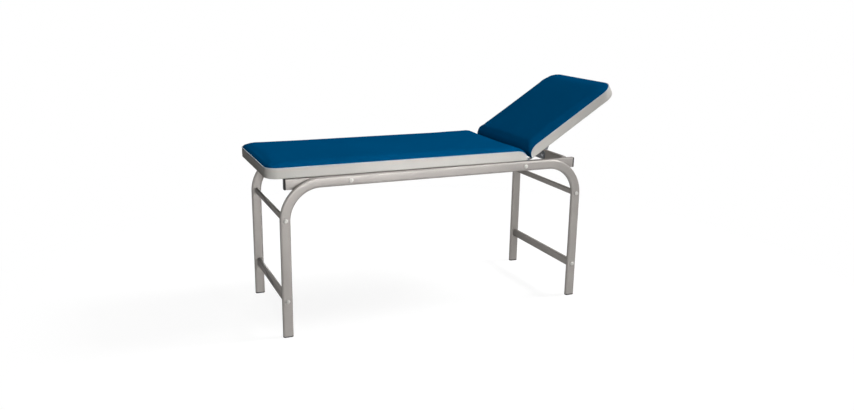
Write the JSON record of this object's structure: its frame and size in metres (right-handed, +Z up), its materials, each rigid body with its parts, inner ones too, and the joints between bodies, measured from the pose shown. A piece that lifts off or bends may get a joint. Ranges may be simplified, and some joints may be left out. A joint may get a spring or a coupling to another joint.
{
  "type": "examination table",
  "caption": "Examination table on bent tube side frames, with a long fixed pad and a shorter hinged head pad that a notched prop holds at a slope.",
  "frame": {"origin": "on the floor, under the middle of the table's length and width, with the head section raised as at rest", "axes": "+X towards the head end, +Y towards the far side in the picture, +Z up"},
  "size_m": [1.8286, 0.6502, 1.1146],
  "materials": {
    "silver_paint": "satin",
    "black_plastic": "matte",
    "white_plastic": "satin",
    "zinc_steel": "satin",
    "birch_ply": "matte",
    "blue_vinyl": "satin",
    "beige_vinyl": "satin"
  },
  "bodies": {
    "table_frame": {"bed_foot_crossbar": "silver_paint", "bed_head_crossbar": "silver_paint", "bed_hinge_crossbar": "silver_paint", "bed_rail_left": "silver_paint", "bed_rail_right": "silver_paint", "bolt_cap_foot_lower_left": "white_plastic", "bolt_cap_foot_lower_right": "white_plastic", "bolt_cap_foot_rail_left": "white_plastic", "bolt_cap_foot_rail_right": "white_plastic", "bolt_cap_foot_upper_left": "white_plastic", "bolt_cap_foot_upper_right": "white_plastic", "bolt_cap_head_lower_left": "white_plastic", "bolt_cap_head_lower_right": "white_plastic", "bolt_cap_head_rail_left": "white_plastic", "bolt_cap_head_rail_right": "white_plastic", "bolt_cap_head_upper_left": "white_plastic", "bolt_cap_head_upper_right": "white_plastic", "bolt_foot_lower_left": "zinc_steel", "bolt_foot_lower_right": "zinc_steel", "bolt_foot_rail_left": "zinc_steel", "bolt_foot_rail_right": "zinc_steel", "bolt_foot_upper_left": "zinc_steel", "bolt_foot_upper_right": "zinc_steel", "bolt_head_lower_left": "zinc_steel", "bolt_head_lower_right": "zinc_steel", "bolt_head_rail_left": "zinc_steel", "bolt_head_rail_right": "zinc_steel", "bolt_head_upper_left": "zinc_steel", "bolt_head_upper_right": "zinc_steel", "foot_cap_foot_left": "black_plastic", "foot_cap_foot_right": "black_plastic", "foot_cap_head_left": "black_plastic", "foot_cap_head_right": "black_plastic", "foot_lower_bar": "silver_paint", "foot_upper_bar": "silver_paint", "head_lower_bar": "silver_paint", "head_upper_bar": "silver_paint", "hinge_fixed_leaf_left": "zinc_steel", "hinge_fixed_leaf_right": "zinc_steel", "hinge_pin_left": "zinc_steel", "hinge_pin_right": "zinc_steel", "prop_bracket": "zinc_steel", "rail_plug_foot_left": "black_plastic", "rail_plug_foot_right": "black_plastic", "rail_plug_head_left": "black_plastic", "rail_plug_head_right": "black_plastic", "seat_band": "beige_vinyl", "seat_board": "birch_ply", "seat_cushion": "blue_vinyl", "side_frame_left": "silver_paint", "side_frame_right": "silver_paint"},
    "head_section": {"head_board": "birch_ply", "head_cushion": "blue_vinyl", "head_band": "beige_vinyl", "guide_channel": "zinc_steel", "hinge_moving_leaf_left": "zinc_steel", "hinge_moving_leaf_right": "zinc_steel"},
    "prop": {"prop_arm": "zinc_steel", "prop_pivot_pin": "zinc_steel", "prop_cross_pin": "zinc_steel"}
  },
  "joints": [
    {"name": "head_hinge", "type": "hinge", "parent": "table_frame", "child": "head_section", "pos_m": [0.40873, 0, 0.75], "axis": [0, -1, 0], "range_deg": [-32.5, 17.5]},
    {"name": "prop_pivot", "type": "hinge", "parent": "table_frame", "child": "prop", "pos_m": [0.66623, 0, 0.706], "axis": [0, -1, 0], "range_deg": [-65, 35]}
  ],
  "couplings": [
    {"joint": "prop_pivot", "follows": "head_hinge", "ratio": 2}
  ]
}
